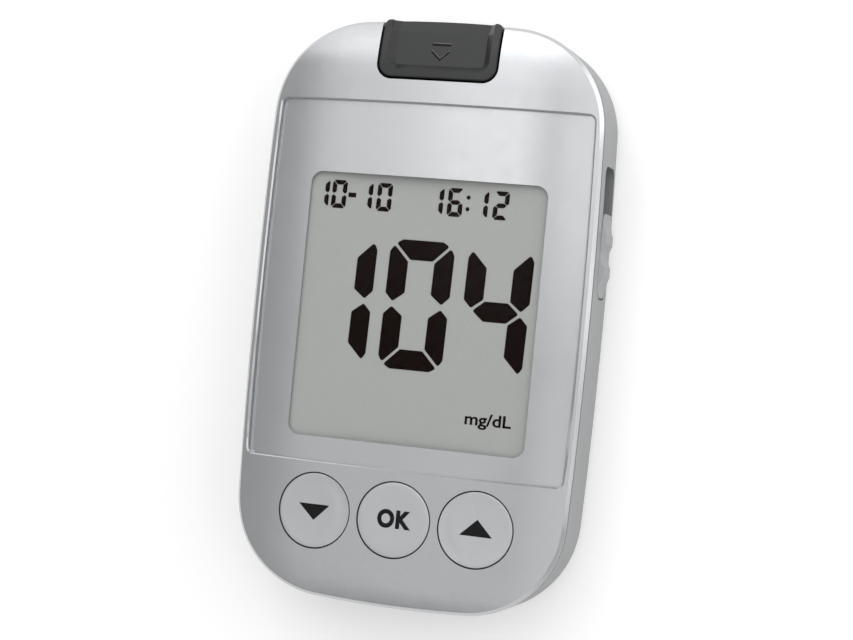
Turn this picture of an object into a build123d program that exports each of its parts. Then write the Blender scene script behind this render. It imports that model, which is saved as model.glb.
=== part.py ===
from build123d import *
import os
from math import acos, asin, atan2, cos, degrees, radians, sin, sqrt, tan

os.makedirs("parts", exist_ok=True)

# Blood glucose meter, lying on its back.
# X runs across the meter, Y towards the strip port, Z out of the face.
# The origin is the centre of the flat back. All lengths are in millimetres.

# ---------------------------------------------------------------- housing sizes
body_length = 94.0
body_width = 56.2
side_bulge = 1.1
end_bulge = 2.0
corner_radius = 16.0
body_thickness = 16.0
rim_height = 0.7  # from the lowest point of the face's edge down to the joint between the shells
rim_bevel = 0.55
wall = 1.6
back_wall = 1.6
back_edge_radius = 3.75
front_skin = 2.2
joint_groove_height = 0.5
joint_groove_depth = 0.3

# Crown of the face: gentle in the middle, rounder near the long sides and the ends.
crown_radius = 400.0
crown_shoulder_width = 14.1
shoulder_radius = 100.0
end_roll_length = 10.0
end_roll_radius = 30.0

# Tongue and groove along the parting line.
groove_skin = 0.8
lip_clearance = 0.05
lip_depth = 1.2
lip_wall = 1.35

# ---------------------------------------------------------------- window and display sizes
panel_side_margin = 1.3  # silver edge left beside the panel
panel_top_margin = 13.6
panel_bottom_margin = 22.2
panel_end_bow = 0.12
panel_corner_radius = 1.0
panel_gap = 0.14
seat_edge_bevel = 0.2
lens_thickness = 1.0
lens_edge_round = 0.12
mask_thickness = 0.2
window_side_margin = 6.95  # from the panel's edge to the clear window
window_top_margin = 11.55
window_bottom_margin = 3.8
window_corner_radius = 2.0

cell_side_margin = 1.15
cell_thickness = 2.0
cell_top_margin = 2.1  # glass beyond the visible window
cell_bottom_margin = 1.6
cell_below_mask = 0.3
cell_play = 0.4
reflector_thickness = 0.2
frame_wall = 0.8
frame_play = 0.05
frame_grip = 0.9  # height of the frame's rim round the cell
frame_ledge = 3.0
strip_thickness = 1.6
strip_setback = 0.3
strip_end_margin = 2.0

# ---------------------------------------------------------------- button sizes
button_end_distance = 14.2  # from the lower end to the row of buttons
button_radius = 5.96
button_spacing = 1.58
button_gap = 0.22
button_dish = 0.3
button_dish_margin = 0.45
button_edge_round = 0.12
button_travel = 0.4
button_cap_thickness = 1.4
button_skirt = 0.9
flange_lap = 0.37
flange_thickness = 0.7
flange_clearance = 0.1
collar_depth = 1.0  # reach of the button guides below the skin
collar_wall = 0.45
stem_radius = 1.6
plunger_radius = 0.9
plunger_fit = 0.08
plunger_height = 1.25
switch_size = 4.5
switch_height = 1.2
switch_floor = 0.1
switch_corner_radius = 0.4

# ---------------------------------------------------------------- strip port sizes
bezel_width = 19.6
bezel_length = 9.4
bezel_corner_radius = 2.2
bezel_gap = 0.35  # the dark groove round the cap, in the face
bezel_wall_gap = 0.1  # and in the end wall
bezel_edge_round = 0.25
horn_round = 0.9
bezel_proud = 0.15
bezel_overhang = 0.3
bezel_bottom = 6.2
bezel_end_wall = 2.6
bezel_cheek = 1.2
trough_rim = 1.25
trough_depth = 0.9
trough_slope = 50.0  # degrees from the plate's normal
trough_corner_radius = 1.9
trough_dip_length = 1.8  # from the start of the steep dip to the housing's end
trough_dip_angle = 42.0
strip_width = 7.2
strip_height = 0.9
strip_rise = 1.6  # from the board up to the middle of the strip
mouth_flare = 0.5
mouth_depth = 1.2

connector_width = 14.0
connector_length = 7.4
connector_gap = 0.9  # between the connector and the bezel's end wall
connector_height = 3.5
connector_corner_radius = 0.5
connector_clearance = 0.2
channel_width = 3.7
channel_height = 1.6
contact_pitch = 0.95
contact_width = 0.5
contact_thickness = 0.2
contact_first_x = 2.5
contact_play = 0.05
contact_tip_setback = 2.4
contacts_per_side = 2

# ---------------------------------------------------------------- ejector sizes
slot_start = 5.05
slot_length = 21.1
slot_top = 10.5
slot_width = 6.5
slot_corner_radius = 1.5
slot_corner_radius_low = 2.3
knob_gap = 0.22
knob_length = 13.4
knob_proud = 0.6
knob_bevel = 0.7
ridge_pitch = 5.0
ridge_width = 1.45
scallop_depth = 0.58
end_scallop_radius = 5.0
ejector_travel = 7.2
carriage_gap = 0.7  # between the carriage and the side wall at mid length
carriage_thickness = 1.5
carriage_lap = 1.1  # how far the carriage reaches past the slot's edges
arm_width = 2.4
arm_thickness = 1.6
arm_reach = 1.6  # from the end of the display frame to the arm at rest
tongue_width = 3.0
tongue_thickness = 0.8
tongue_rest_gap = 2.0  # from the connector to the tongue at rest
shutter_thickness = 0.7
shutter_lap = 1.2
shutter_inset = 0.6  # how much lower the shutter is than the carriage, above and below
rail_thickness = 0.8
rail_height = 3.6
rail_gap = 0.3
rail_overrun = 2.0
spring_radius = 1.5
spring_wire = 0.3
spring_turns = 6
spring_space = 12.4
spring_pin_radius = 0.8
spring_pin_length = 3.0
spring_stop_thickness = 1.2
spring_seat_gap = 0.05
lug_width = 3.4
lug_thickness = 2.0
lug_setback = 2.0
lug_height = 3.2

# ---------------------------------------------------------------- board sizes
board_depth = 5.42  # from the joint between the shells down to the board's underside
board_thickness = 1.0
board_gap = 0.8  # between the board and the side walls
board_notch_gap = 0.6
board_part_gap = 0.3
post_radius = 1.6
post_side_gap = 0.35  # between the display frame and the screw heads beside it
post_side_y = -6.0
post_top_inset = 6.1
post_top_gap = 4.7
board_screw_radius = 0.7
board_screw_head_radius = 1.4
board_screw_head_height = 0.8
board_screw_length = 5.0
board_end_gap = 1.6  # from the board's end to the inside of the end walls
chip_size = 8.0
chip_thickness = 1.2
chip_place = (9.0, -1.0)
buzzer_radius = 4.5
buzzer_height = 2.6
buzzer_place = (-12.0, 12.0)
passive_rows = 3
passive_columns = 4
passive_pitch = 3.0
passive_size = (1.6, 0.8, 0.6)
passive_x = 8.0
passive_edge_gap = 2.45  # between the small parts and the frame's opening

# ---------------------------------------------------------------- battery sizes
cell_radius = 10.0
coin_thickness = 3.2
coin_edge_round = 0.4
coin_spacing = 1.2
coin_end_distance = 22.5
well_clearance = 0.2
well_ceiling = 0.8
contact_room = 0.7
coin_lift = 0.3
pad_height = 0.5
pad_length = 12.0
pad_width = 3.0
pad_corner_radius = 0.8
door_side_margin = 1.0  # door beyond the coin cells' wells
door_hinge_margin = 2.55
door_latch_margin = 2.7
door_thickness = 1.3
door_recess = 0.15
door_gap = 0.3
door_corner_radius = 2.0
door_seat_depth = 1.6
block_wall = 1.0
block_end_wall = 1.9
tab_places = (-12.0, 12.0)
tab_width = 6.0
tab_length = 2.4
tab_thickness = 0.8
tab_clearance = 0.3
latch_width = 8.0
latch_thickness = 1.0
latch_height = 3.2
latch_root = 0.2
latch_bead_radius = 0.35
latch_room = 0.8
thumb_notch_length = 3.0
thumb_notch_depth = 0.8
thumb_notch_corner_radius = 0.9
leaf_thickness = 0.25
leaf_width = 5.0
leaf_overlap = 2.4  # leaf beyond the middle of each coin cell
leaf_room = 0.3
leaf_dimple = 1.6

# ---------------------------------------------------------------- case screw sizes
boss_radius = 2.4
boss_foot_radius = 3.0
boss_foot_wall = 1.4
boss_joint_depth = 2.85
case_screw_top_inset = (8.6, 8.8)
case_screw_bottom_spread = 7.0
case_screw_bottom_inset = 5.8
screw_radius = 1.0
screw_fit = 0.02
screw_clearance = 0.2
screw_head_radius = 1.75
screw_head_height = 1.3
screw_head_depth = 2.2
screw_end_room = 1.15
pilot_skin = 0.3
screw_drive_radius = 0.75
screw_drive_depth = 0.7

# How far a cutting shape runs past what it cuts.
cut_overrun = 1.0
tool_margin = 4.0
tolerance = 0.01  # within which a point counts as lying on a line or surface

# ---------------------------------------------------------------- form of the face
half_length = body_length / 2
half_width = body_width / 2
roll_start = half_length - end_roll_length
crown_flat = half_width - crown_shoulder_width


def crown_drop(x):
    """How far the face lies below its crest at a distance x from the centre line."""
    x = abs(x)
    if x <= crown_flat:
        return crown_radius - sqrt(crown_radius**2 - x**2)
    slope = asin(crown_flat / crown_radius)
    centre = crown_flat - shoulder_radius * sin(slope)
    return (
        crown_radius * (1 - cos(slope))
        + shoulder_radius * cos(slope)
        - sqrt(shoulder_radius**2 - (x - centre) ** 2)
    )


def face_height(x, y):
    """Height of the face above the back, at a point in plan."""
    rolled = max(0.0, abs(y) - roll_start)
    swing = end_roll_radius - crown_drop(x)
    return body_thickness - end_roll_radius + sqrt(swing**2 - rolled**2)


# ---------------------------------------------------------------- sizes that follow
parting_height = min(face_height(half_width, 0), face_height(0, half_length)) - rim_height
tool_reach = half_width + tool_margin
cut_top = body_thickness + cut_overrun
lip_inset = groove_skin + lip_clearance
front_cavity_inset = lip_inset + lip_wall
lip_bottom = parting_height - lip_depth
pocket_depth = lens_thickness + mask_thickness
board_bottom = parting_height - board_depth
board_top = board_bottom + board_thickness
strip_level = board_top + strip_rise
panel_width = body_width - 2 * panel_side_margin
panel_top = half_length - panel_top_margin
panel_bottom = panel_bottom_margin - half_length
window_width = panel_width - 2 * window_side_margin
window_top = panel_top - window_top_margin
window_bottom = panel_bottom + window_bottom_margin
cell_width = window_width + 2 * cell_side_margin
button_pitch = 2 * button_radius + button_spacing
button_y = button_end_distance - half_length
button_places = [(-button_pitch, button_y), (0.0, button_y), (button_pitch, button_y)]
button_names = ["down", "ok", "up"]
button_hole_radius = button_radius + button_gap
coin_pitch = 2 * cell_radius + coin_spacing
coin_y = coin_end_distance - half_length
coin_places = [(-coin_pitch / 2, coin_y), (coin_pitch / 2, coin_y)]
well_radius = cell_radius + well_clearance
door_width = coin_pitch + 2 * (well_radius + door_side_margin)
door_top_y = coin_y + well_radius + door_hinge_margin
door_bottom_y = coin_y - well_radius - door_latch_margin


def bow_radius(chord, sagitta):
    """Radius of an arc from its chord and its height."""
    return (chord**2 / 4 + sagitta**2) / (2 * sagitta)


def on_circle(centre, radius, angle):
    """Point on a circle at an angle in radians from the X direction."""
    return (centre[0] + radius * cos(angle), centre[1] + radius * sin(angle))


side_bow = bow_radius(body_length - 2 * end_bulge, side_bulge)


def side_edge(y, inset=0.0):
    """Distance from the centre line to the housing's bowed side, between its corners."""
    return half_width - side_bow + sqrt((side_bow - inset) ** 2 - y**2)


def body_outline(inset=0.0):
    """Plan form of the housing: bowed sides and ends joined by large tangent corners."""
    end_bow = bow_radius(body_width - 2 * side_bulge, end_bulge)
    side_centre = (half_width - side_bow, 0.0)
    end_centre = (0.0, half_length - end_bow)
    # The corner's centre lies at a known distance from both of the other centres.
    span = sqrt(side_centre[0] ** 2 + end_centre[1] ** 2)
    from_side = side_bow - corner_radius
    from_end = end_bow - corner_radius
    lean = atan2(end_centre[1], -side_centre[0])
    turn = acos((from_side**2 + span**2 - from_end**2) / (2 * from_side * span))
    side_angle = lean + turn
    corner_centre = on_circle(side_centre, from_side, side_angle)
    end_angle = atan2(corner_centre[1] - end_centre[1], corner_centre[0] - end_centre[0])
    corner = corner_radius - inset
    start = on_circle(corner_centre, corner, side_angle)
    middle = on_circle(corner_centre, corner, (side_angle + end_angle) / 2)
    stop = on_circle(corner_centre, corner, end_angle)
    with BuildSketch() as outline:
        with BuildLine():
            for flip_x, flip_y in ((1, 1), (-1, 1), (-1, -1), (1, -1)):
                ThreePointArc(*[(flip_x * x, flip_y * y) for x, y in (start, middle, stop)])
            for flip in (1, -1):
                ThreePointArc(
                    (flip * start[0], -start[1]),
                    (flip * (half_width - inset), 0),
                    (flip * start[0], start[1]),
                )
                ThreePointArc(
                    (-stop[0], flip * stop[1]),
                    (0, flip * (half_length - inset)),
                    (stop[0], flip * stop[1]),
                )
        make_face()
    return outline.sketch


def panel_outline(inset=0.0):
    """Plan form of the window panel: sides along the housing's, bowed ends, small corners."""
    middle = (panel_top + panel_bottom) / 2
    lower, waist, upper = [side_edge(y, panel_side_margin) for y in (panel_bottom, middle, panel_top)]
    with BuildSketch() as outline:
        with BuildLine():
            ThreePointArc((lower, panel_bottom), (waist, middle), (upper, panel_top))
            ThreePointArc((upper, panel_top), (0, panel_top + panel_end_bow), (-upper, panel_top))
            ThreePointArc((-upper, panel_top), (-waist, middle), (-lower, panel_bottom))
            ThreePointArc(
                (-lower, panel_bottom), (0, panel_bottom - panel_end_bow), (lower, panel_bottom)
            )
        make_face()
        fillet(outline.vertices(), panel_corner_radius)
        if inset != 0:
            offset(amount=-inset, kind=Kind.INTERSECTION, mode=Mode.REPLACE)
    return outline.sketch


def window_outline():
    """The clear display area in the mask."""
    with BuildSketch() as outline:
        with Locations((0, (window_top + window_bottom) / 2)):
            RectangleRounded(window_width, window_top - window_bottom, window_corner_radius)
    return outline.sketch


def under_face(depth=0.0):
    """Solid whose top is the crowned face, lowered by depth, and wider than the housing."""
    crest = body_thickness
    base = body_thickness - end_roll_radius / 2
    edge = tool_reach
    bend = (crown_flat + edge) / 2
    heights = {x: crest - crown_drop(x) for x in (crown_flat, bend, edge)}
    with BuildSketch(Plane.XZ) as section:
        with BuildLine():
            ThreePointArc(
                (-crown_flat, heights[crown_flat]), (0, crest), (crown_flat, heights[crown_flat])
            )
            for side in (-1, 1):
                ThreePointArc(
                    (side * crown_flat, heights[crown_flat]),
                    (side * bend, heights[bend]),
                    (side * edge, heights[edge]),
                )
            Polyline((-edge, heights[edge]), (-edge, base), (edge, base), (edge, heights[edge]))
        make_face()
    swing = degrees(atan2(end_roll_length + end_bulge, end_roll_radius / 2))
    with BuildPart() as crowned:
        extrude(section.sketch, amount=roll_start, both=True)
        for end in (-1, 1):
            axis = Axis((0, end * roll_start, crest - end_roll_radius), (-end, 0, 0))
            revolve(section.sketch.moved(Location((0, end * roll_start, 0))), axis, swing)
    return crowned.part.moved(Location((0, 0, -depth)))


def tub(inset, bottom, edge_radius):
    """Solid under the parting line with rounded lower edges."""
    with BuildPart() as form:
        with BuildSketch(Plane.XY.offset(parting_height)):
            add(body_outline(inset))
        extrude(amount=-(parting_height - bottom))
        fillet(form.faces().sort_by(Axis.Z)[0].edges(), edge_radius)
    return form.part


def round_post(places, radius, bottom, top):
    """Upright round posts, as a solid to add or take away."""
    with BuildPart() as posts:
        with BuildSketch(Plane.XY.offset(bottom)):
            with Locations(*places):
                Circle(radius)
        extrude(amount=top - bottom)
    return posts.part


def plate(outline, bottom, top):
    """A sketch drawn at Z = 0, raised to a slab between two heights."""
    with BuildPart() as slab:
        with BuildSketch(Plane.XY.offset(bottom)):
            add(outline)
        extrude(amount=top - bottom)
    return slab.part


def block(x_range, y_range, z_range, corner=0.0):
    """Upright block between given limits, with rounded upright corners."""
    with BuildPart() as solid:
        with BuildSketch(Plane.XY.offset(z_range[0])):
            with Locations(((x_range[0] + x_range[1]) / 2, (y_range[0] + y_range[1]) / 2)):
                width = x_range[1] - x_range[0]
                length = y_range[1] - y_range[0]
                if corner > 0:
                    RectangleRounded(width, length, corner)
                else:
                    Rectangle(width, length)
        extrude(amount=z_range[1] - z_range[0])
    return solid.part


def slot_outline(start, end, gap=0.0):
    """Form of the ejector's slot, or of the knob in it, seen from the side."""
    with BuildSketch() as outline:
        with Locations(((start + end) / 2, (slot_top + slot_bottom) / 2)):
            Rectangle(end - start, slot_width - 2 * gap)
        fillet(outline.vertices().group_by(Axis.X)[0], slot_corner_radius_low - gap)
        fillet(outline.vertices().group_by(Axis.X)[-1], slot_corner_radius - gap)
    return outline.sketch


def door_outline(gap=0.0):
    """Plan form of the battery door: square at the hinge, rounded at the latch."""
    with BuildSketch() as outline:
        with Locations((0, (door_top_y + door_bottom_y) / 2)):
            Rectangle(door_width + 2 * gap, door_top_y - door_bottom_y + 2 * gap)
        fillet(outline.vertices().group_by(Axis.Y)[0], door_corner_radius + gap)
    return outline.sketch


def border(faces):
    """Edges that run round the outside of a patch of faces."""
    return faces.edges().filter_by(lambda e: len(faces.filter_by(lambda f: e in f.edges())) == 1)


def finish(piece, label):
    """Name a finished piece and write it out."""
    piece.part.label = label
    export_step(piece.part, "parts/" + label + ".step")


# ---------------------------------------------------------------- shared places
cell_y_range = (window_bottom - cell_bottom_margin, window_top + cell_top_margin)
strip_y = (
    cell_y_range[0] + strip_setback + strip_thickness / 2,
    cell_y_range[1] - strip_setback - strip_thickness / 2,
)
cell_top = face_height(cell_width / 2, 0) - pocket_depth - cell_below_mask
cell_bottom = cell_top - cell_thickness
cell_opening_x = cell_width / 2 + cell_play
cell_opening_y = (cell_y_range[0] - cell_play, cell_y_range[1] + cell_play)
frame_x = cell_width / 2 + frame_play + frame_wall
frame_y_range = (
    cell_y_range[0] - frame_play - frame_wall,
    cell_y_range[1] + frame_play + frame_wall,
)
collar_bottom = face_height(button_pitch + button_hole_radius, button_y) - front_skin - collar_depth
collar_top = collar_bottom + collar_depth + front_skin / 2
flange_top = collar_bottom - flange_clearance
plunger_top = board_top + switch_floor + button_travel + plunger_height

bezel_y = half_length - bezel_length
bezel_end = half_length + bezel_overhang
bezel_wall_y = bezel_end - bezel_end_wall
connector_end = bezel_wall_y - connector_gap
connector_start = connector_end - connector_length
connector_top = board_top + connector_height
trough_dip_y = half_length - trough_dip_length

slot_end = slot_start + slot_length
slot_bottom = slot_top - slot_width
knob_start = slot_start + knob_gap
knob_end = knob_start + knob_length
carriage_outer_x = half_width - wall - carriage_gap
carriage_inner_x = carriage_outer_x - carriage_thickness
carriage_start = knob_start - carriage_lap
carriage_end = knob_end + carriage_lap
arm_y = frame_y_range[1] + arm_reach / 2
arm_level = strip_level
rail_x = carriage_inner_x - rail_gap
arm_side_x = rail_x
tongue_end = connector_start - tongue_rest_gap
shutter_end = slot_end + shutter_lap
lug_end = carriage_end - lug_setback
spring_x = carriage_inner_x - lug_width / 2 - rail_gap / 2
spring_stop_y = lug_end + spring_space
spring_level = slot_bottom + lug_height / 2
spring_stop_height = board_bottom - board_part_gap

hinge_height = door_recess + door_thickness / 2
hinge_y = door_top_y - door_thickness / 2
coin_bottom = door_recess + door_thickness + pad_height + coin_lift
coin_top = coin_bottom + coin_thickness
well_top = coin_top + contact_room
block_top = well_top + well_ceiling
opening_y = (door_bottom_y - door_gap, door_top_y + door_gap)
latch_y = door_bottom_y + latch_bead_radius
latch_pocket_y = (latch_y - latch_bead_radius - latch_room, latch_y + latch_thickness + door_gap)
tab_top = back_wall + tab_clearance + tab_thickness
tab_swing = sqrt(tab_length**2 + (tab_top - hinge_height) ** 2)

post_x = frame_x + post_side_gap + board_screw_head_radius
post_places = [
    (-post_x, post_side_y),
    (post_x, post_side_y),
    (post_top_inset - half_width, frame_y_range[1] + post_top_gap),
]
case_screw_x = half_width - case_screw_top_inset[0]
case_screw_y = half_length - case_screw_top_inset[1]
case_screw_places = [
    (-case_screw_x, case_screw_y),
    (case_screw_x, case_screw_y),
    (-case_screw_bottom_spread, case_screw_bottom_inset - half_length),
    (case_screw_bottom_spread, case_screw_bottom_inset - half_length),
]
boss_joint_height = parting_height - boss_joint_depth
screw_tip = parting_height - pilot_skin - screw_end_room


# ---------------------------------------------------------------- front shell
def bezel_outline(gap=0.0):
    """Plan form of the strip port's cap, from its rounded inner end past the housing's end."""
    width = bezel_width + 2 * gap
    inner_end = bezel_y - gap
    outer_end = half_length + end_bulge
    with BuildSketch() as outline:
        with Locations((0, (inner_end + outer_end) / 2)):
            Rectangle(width, outer_end - inner_end)
        fillet(outline.vertices().group_by(Axis.Y)[0], bezel_corner_radius + gap)
    return outline.sketch


def on_panel_edge(point):
    """Whether a point lies on the line where the panel's seat meets the face."""
    on_face = abs(point.Z - face_height(point.X, point.Y)) < tolerance
    return on_face and abs(panel_line.distance_to(Vector(point.X, point.Y, 0))) < tolerance


panel_line = Wire(panel_outline().edges())

with BuildPart() as front_shell:
    add(plate(body_outline(), parting_height, body_thickness))
    add(under_face(), mode=Mode.INTERSECT)
    chamfer(border(front_shell.faces().filter_by(lambda f: f.normal_at().Z > 0.5)), rim_bevel)
    # Lip that drops into the rear shell's groove.
    add(plate(body_outline(lip_inset), lip_bottom, parting_height))
    # Hollow under the skin.
    with BuildPart(mode=Mode.PRIVATE) as front_cavity:
        add(plate(body_outline(front_cavity_inset), lip_bottom - cut_overrun, body_thickness))
        add(under_face(front_skin), mode=Mode.INTERSECT)
    add(front_cavity.part, mode=Mode.SUBTRACT)
    # Sunk seat for the window panel, and the opening that the display looks through.
    with BuildPart(mode=Mode.PRIVATE) as panel_seat:
        add(plate(panel_outline(), lip_bottom, cut_top))
        add(under_face(pocket_depth), mode=Mode.SUBTRACT)
    add(panel_seat.part, mode=Mode.SUBTRACT)
    chamfer(
        front_shell.edges().filter_by(lambda e: on_panel_edge(e.position_at(0.5))), seat_edge_bevel
    )
    add(
        block((-cell_opening_x, cell_opening_x), cell_opening_y, (lip_bottom - cut_overrun, cut_top)),
        mode=Mode.SUBTRACT,
    )
    # Guides for the three buttons and posts for the case screws.
    add(round_post(button_places, button_hole_radius + collar_wall, collar_bottom, collar_top))
    add(
        round_post(button_places, button_hole_radius, collar_bottom, cut_top),
        mode=Mode.SUBTRACT,
    )
    add(round_post(case_screw_places, boss_radius, boss_joint_height, parting_height))
    add(
        round_post(
            case_screw_places,
            screw_radius + screw_fit,
            boss_joint_height,
            parting_height - pilot_skin,
        ),
        mode=Mode.SUBTRACT,
    )
    # Gap that the strip port's cap fills.
    add(plate(bezel_outline(bezel_gap), lip_bottom - cut_overrun, cut_top), mode=Mode.SUBTRACT)
finish(front_shell, "front_shell")

# ---------------------------------------------------------------- rear shell
with BuildPart() as rear_shell:
    add(tub(0.0, 0.0, back_edge_radius))
    add(tub(wall, back_wall, back_edge_radius - wall), mode=Mode.SUBTRACT)
    # Groove for the front shell's lip, and the narrow outer groove that marks the joint.
    add(
        plate(body_outline(groove_skin), lip_bottom - lip_clearance, cut_top),
        mode=Mode.SUBTRACT,
    )
    with BuildPart(mode=Mode.PRIVATE) as joint_groove:
        add(plate(body_outline(-cut_overrun), parting_height - joint_groove_height, cut_top))
        add(
            plate(body_outline(joint_groove_depth), parting_height - joint_groove_height, cut_top),
            mode=Mode.SUBTRACT,
        )
    add(joint_groove.part, mode=Mode.SUBTRACT)
    # Battery block, with a seat for the door and a round well for each coin cell.
    block_y = (opening_y[0] - block_end_wall, opening_y[1] + block_end_wall)
    block_x = door_width / 2 + door_gap + block_wall
    block_corner = door_corner_radius + block_wall
    add(block((-block_x, block_x), block_y, (back_wall / 2, block_top), block_corner))
    add(plate(door_outline(door_gap), -cut_overrun, door_seat_depth), mode=Mode.SUBTRACT)
    add(round_post(coin_places, well_radius, 0, well_top), mode=Mode.SUBTRACT)
    # Passage between the wells for the contact leaves.
    add(
        block(
            (-coin_pitch / 2, coin_pitch / 2),
            (coin_y - leaf_width / 2 - leaf_room, coin_y + leaf_width / 2 + leaf_room),
            (0, well_top),
        ),
        mode=Mode.SUBTRACT,
    )
    # Openings for the door's hooks and latch, and the thumb notch outside.
    for x in tab_places:
        add(
            block(
                (x - tab_width / 2 - door_gap, x + tab_width / 2 + door_gap),
                (hinge_y - tab_length, block_y[1] + cut_overrun),
                (door_seat_depth, hinge_height + tab_swing + tab_clearance),
            ),
            mode=Mode.SUBTRACT,
        )
    add(
        block(
            (-latch_width / 2 - door_gap, latch_width / 2 + door_gap),
            latch_pocket_y,
            (0, door_seat_depth + latch_height + door_gap),
        ),
        mode=Mode.SUBTRACT,
    )
    add(
        block(
            (-latch_width / 2, latch_width / 2),
            (opening_y[0] - thumb_notch_length, opening_y[0] + cut_overrun),
            (-cut_overrun, thumb_notch_depth),
            thumb_notch_corner_radius,
        ),
        mode=Mode.SUBTRACT,
    )
    # Posts for the case screws, with sunk heads, and posts for the board.
    boss_foot_top = screw_head_depth + boss_foot_wall
    add(round_post(case_screw_places, boss_foot_radius, back_wall, boss_foot_top))
    add(round_post(case_screw_places, boss_radius, back_wall, boss_joint_height))
    with Locations(Plane.XY.rotated((180, 0, 0))):
        with Locations(*[(x, -y) for x, y in case_screw_places]):
            CounterBoreHole(
                screw_radius + screw_clearance,
                screw_head_radius + screw_clearance,
                screw_head_depth,
                boss_joint_height + cut_overrun,
            )
    add(round_post(post_places, post_radius, back_wall, board_bottom))
    add(
        round_post(
            post_places,
            board_screw_radius + screw_fit,
            board_top - board_screw_length - pilot_skin,
            board_bottom + cut_overrun,
        ),
        mode=Mode.SUBTRACT,
    )
    # Long slot in the right-hand side for the ejector, with its inner rail and spring stop.
    with BuildSketch(Plane.YZ.offset(half_width + cut_overrun)):
        add(slot_outline(slot_start, slot_end))
    extrude(amount=carriage_outer_x - half_width - cut_overrun, mode=Mode.SUBTRACT)
    add(
        block(
            (rail_x - rail_thickness, rail_x),
            (carriage_start - rail_overrun, spring_stop_y),
            (back_wall, rail_height),
        )
    )
    add(
        block(
            (spring_x - spring_radius - spring_wire, rail_x),
            (spring_stop_y, spring_stop_y + spring_stop_thickness),
            (back_wall, spring_stop_height),
        )
    )
    # Gap in the end wall for the strip port's cap.
    add(
        block(
            (-bezel_width / 2 - bezel_wall_gap, bezel_width / 2 + bezel_wall_gap),
            (bezel_wall_y - bezel_wall_gap, half_length + cut_overrun),
            (bezel_bottom - bezel_wall_gap, body_thickness),
        ),
        mode=Mode.SUBTRACT,
    )
finish(rear_shell, "rear_shell")

# ---------------------------------------------------------------- window panel
with BuildPart() as window_lens:
    add(plate(panel_outline(panel_gap), lip_bottom, cut_top))
    add(under_face(), mode=Mode.INTERSECT)
    add(under_face(lens_thickness), mode=Mode.SUBTRACT)
    outer_faces = window_lens.faces().filter_by(lambda f: f.normal_at().Z > 0.5)
    fillet(border(outer_faces), lens_edge_round)
finish(window_lens, "window_lens")

with BuildPart() as window_mask:
    add(plate(panel_outline(panel_gap), lip_bottom, cut_top))
    add(under_face(lens_thickness), mode=Mode.INTERSECT)
    add(under_face(pocket_depth), mode=Mode.SUBTRACT)
    add(plate(window_outline(), lip_bottom, cut_top), mode=Mode.SUBTRACT)
finish(window_mask, "window_mask")

# ---------------------------------------------------------------- display
with BuildPart() as lcd_cell:
    add(block((-cell_width / 2, cell_width / 2), cell_y_range, (cell_bottom, cell_top)))
finish(lcd_cell, "lcd_cell")

with BuildPart() as lcd_connector_strips:
    for y in strip_y:
        add(
            block(
                (-cell_width / 2 + strip_end_margin, cell_width / 2 - strip_end_margin),
                (y - strip_thickness / 2, y + strip_thickness / 2),
                (board_top, cell_bottom),
            )
        )
finish(lcd_connector_strips, "lcd_connector_strips")

with BuildPart() as lcd_reflector:
    add(
        block(
            (-cell_width / 2, cell_width / 2),
            (strip_y[0] + strip_thickness, strip_y[1] - strip_thickness),
            (cell_bottom - reflector_thickness, cell_bottom),
        )
    )
finish(lcd_reflector, "lcd_reflector")

with BuildPart() as lcd_frame:
    ledge_top = cell_bottom - reflector_thickness
    add(block((-frame_x, frame_x), frame_y_range, (board_top, ledge_top), frame_wall))
    add(block((-frame_x, frame_x), frame_y_range, (ledge_top, cell_bottom + frame_grip), frame_wall))
    add(
        block(
            (-cell_width / 2 - frame_play, cell_width / 2 + frame_play),
            (cell_y_range[0] - frame_play, cell_y_range[1] + frame_play),
            (ledge_top, cell_top),
        ),
        mode=Mode.SUBTRACT,
    )
    add(
        block(
            (-cell_width / 2 + frame_ledge, cell_width / 2 - frame_ledge),
            (strip_y[0] + frame_ledge, strip_y[1] - frame_ledge),
            (board_top, cell_top),
            frame_wall,
        ),
        mode=Mode.SUBTRACT,
    )
    for y in strip_y:
        add(
            block(
                (-cell_width / 2 + strip_end_margin, cell_width / 2 - strip_end_margin),
                (y - strip_thickness / 2, y + strip_thickness / 2),
                (board_top, cell_top),
            ),
            mode=Mode.SUBTRACT,
        )
finish(lcd_frame, "lcd_frame")

# ---------------------------------------------------------------- buttons
for name, (x, y) in zip(button_names, button_places):
    crest = face_height(x, y)
    cap_floor = face_height(abs(x) + button_radius, y) - button_cap_thickness
    with BuildPart() as button:
        add(round_post([(x, y)], button_radius, flange_top - flange_thickness, body_thickness))
        add(under_face(), mode=Mode.INTERSECT)
        fillet(border(button.faces().filter_by(lambda f: f.normal_at().Z > 0.5)), button_edge_round)
        # Shallow dish for the fingertip.
        dish_reach = button_radius - button_dish_margin
        dish_radius = (dish_reach**2 + button_dish**2) / (2 * button_dish)
        with Locations((x, y, crest + dish_radius - button_dish)):
            Sphere(dish_radius, mode=Mode.SUBTRACT)
        add(
            round_post(
                [(x, y)], button_hole_radius + flange_lap, flange_top - flange_thickness, flange_top
            )
        )
        # Hollow underside with the stem that presses the switch.
        add(
            round_post(
                [(x, y)], button_radius - button_skirt, flange_top - flange_thickness, cap_floor
            ),
            mode=Mode.SUBTRACT,
        )
        add(round_post([(x, y)], stem_radius, plunger_top, cap_floor))
    finish(button, "button_" + name)

    with BuildPart() as plunger:
        add(round_post([(x, y)], plunger_radius, plunger_top - plunger_height, plunger_top))
    finish(plunger, "switch_plunger_" + name)

with BuildPart() as switch_bases:
    for x, y in button_places:
        half = switch_size / 2
        base_height = (board_top, board_top + switch_height)
        add(block((x - half, x + half), (y - half, y + half), base_height, switch_corner_radius))
    add(
        round_post(
            button_places,
            plunger_radius + plunger_fit,
            board_top + switch_floor,
            board_top + switch_height,
        ),
        mode=Mode.SUBTRACT,
    )
finish(switch_bases, "switch_bases")

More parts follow.
